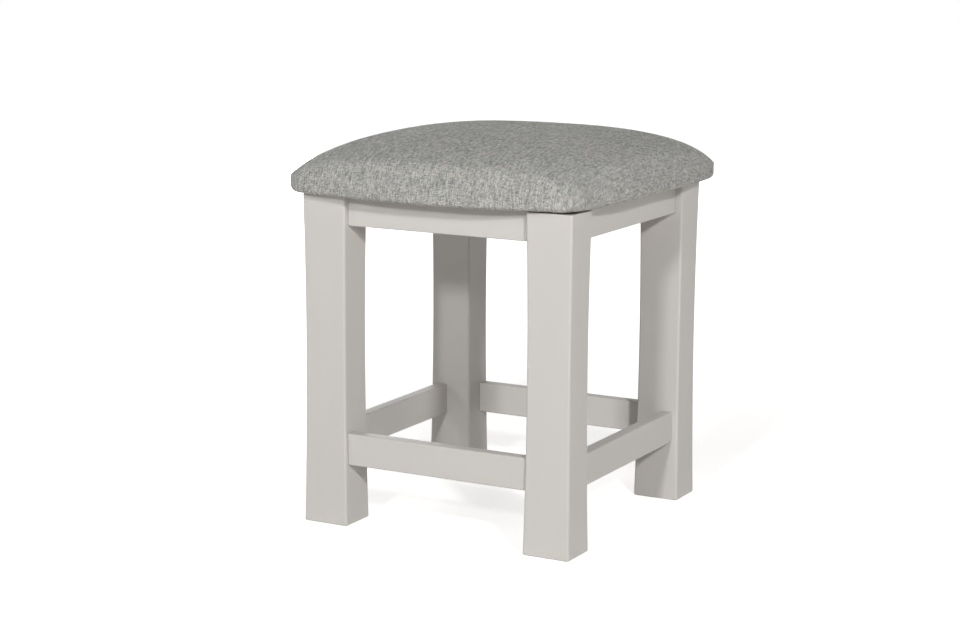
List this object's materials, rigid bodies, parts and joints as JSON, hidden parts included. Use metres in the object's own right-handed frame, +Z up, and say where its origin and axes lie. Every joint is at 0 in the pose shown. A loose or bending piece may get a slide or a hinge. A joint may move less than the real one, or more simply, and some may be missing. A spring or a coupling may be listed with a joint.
{
  "type": "vanity stool",
  "caption": "Square painted wooden stool with hollow-faced legs, rails, low stretchers and a domed upholstered pad screwed on from below.",
  "frame": {"origin": "on the floor, in the middle of the four feet", "axes": "+Z up, -Y towards the front, +X to the right of someone facing the front"},
  "size_m": [0.395, 0.395, 0.4595],
  "materials": {
    "painted_wood": "warm light grey satin paint",
    "seat_fabric": "grey linen-look plain weave with lighter and darker slubs",
    "seat_foam": "open-cell foam",
    "plywood": "sanded birch plywood",
    "block_wood": "bare planed softwood",
    "dowel_wood": "bare turned beech",
    "dust_cloth": "black spun lining cloth",
    "screw_steel": "yellowish zinc plate"
  },
  "bodies": {
    "root": {"leg_front_left": "painted_wood", "leg_front_right": "painted_wood", "leg_back_left": "painted_wood", "leg_back_right": "painted_wood", "rail_front": "painted_wood", "rail_back": "painted_wood", "rail_left": "painted_wood", "rail_right": "painted_wood", "stretcher_front": "painted_wood", "stretcher_back": "painted_wood", "stretcher_left": "painted_wood", "stretcher_right": "painted_wood", "dowel_front_left_across_lower": "dowel_wood", "dowel_front_left_along_lower": "dowel_wood", "dowel_front_left_across_upper": "dowel_wood", "dowel_front_left_along_upper": "dowel_wood", "dowel_front_right_across_lower": "dowel_wood", "dowel_front_right_along_lower": "dowel_wood", "dowel_front_right_across_upper": "dowel_wood", "dowel_front_right_along_upper": "dowel_wood", "dowel_back_left_across_lower": "dowel_wood", "dowel_back_left_along_lower": "dowel_wood", "dowel_back_left_across_upper": "dowel_wood", "dowel_back_left_along_upper": "dowel_wood", "dowel_back_right_across_lower": "dowel_wood", "dowel_back_right_along_lower": "dowel_wood", "dowel_back_right_across_upper": "dowel_wood", "dowel_back_right_along_upper": "dowel_wood", "corner_block_front_left": "block_wood", "corner_block_front_right": "block_wood", "corner_block_back_left": "block_wood", "corner_block_back_right": "block_wood", "block_screw_front_left_side": "screw_steel", "block_screw_front_left_end": "screw_steel", "block_screw_front_right_side": "screw_steel", "block_screw_front_right_end": "screw_steel", "block_screw_back_left_side": "screw_steel", "block_screw_back_left_end": "screw_steel", "block_screw_back_right_side": "screw_steel", "block_screw_back_right_end": "screw_steel", "seat_screw_front_left": "screw_steel", "seat_screw_front_right": "screw_steel", "seat_screw_back_left": "screw_steel", "seat_screw_back_right": "screw_steel", "seat_board": "plywood", "seat_foam": "seat_foam", "seat_cover": "seat_fabric", "seat_dust_cloth": "dust_cloth"}
  },
  "joints": []
}
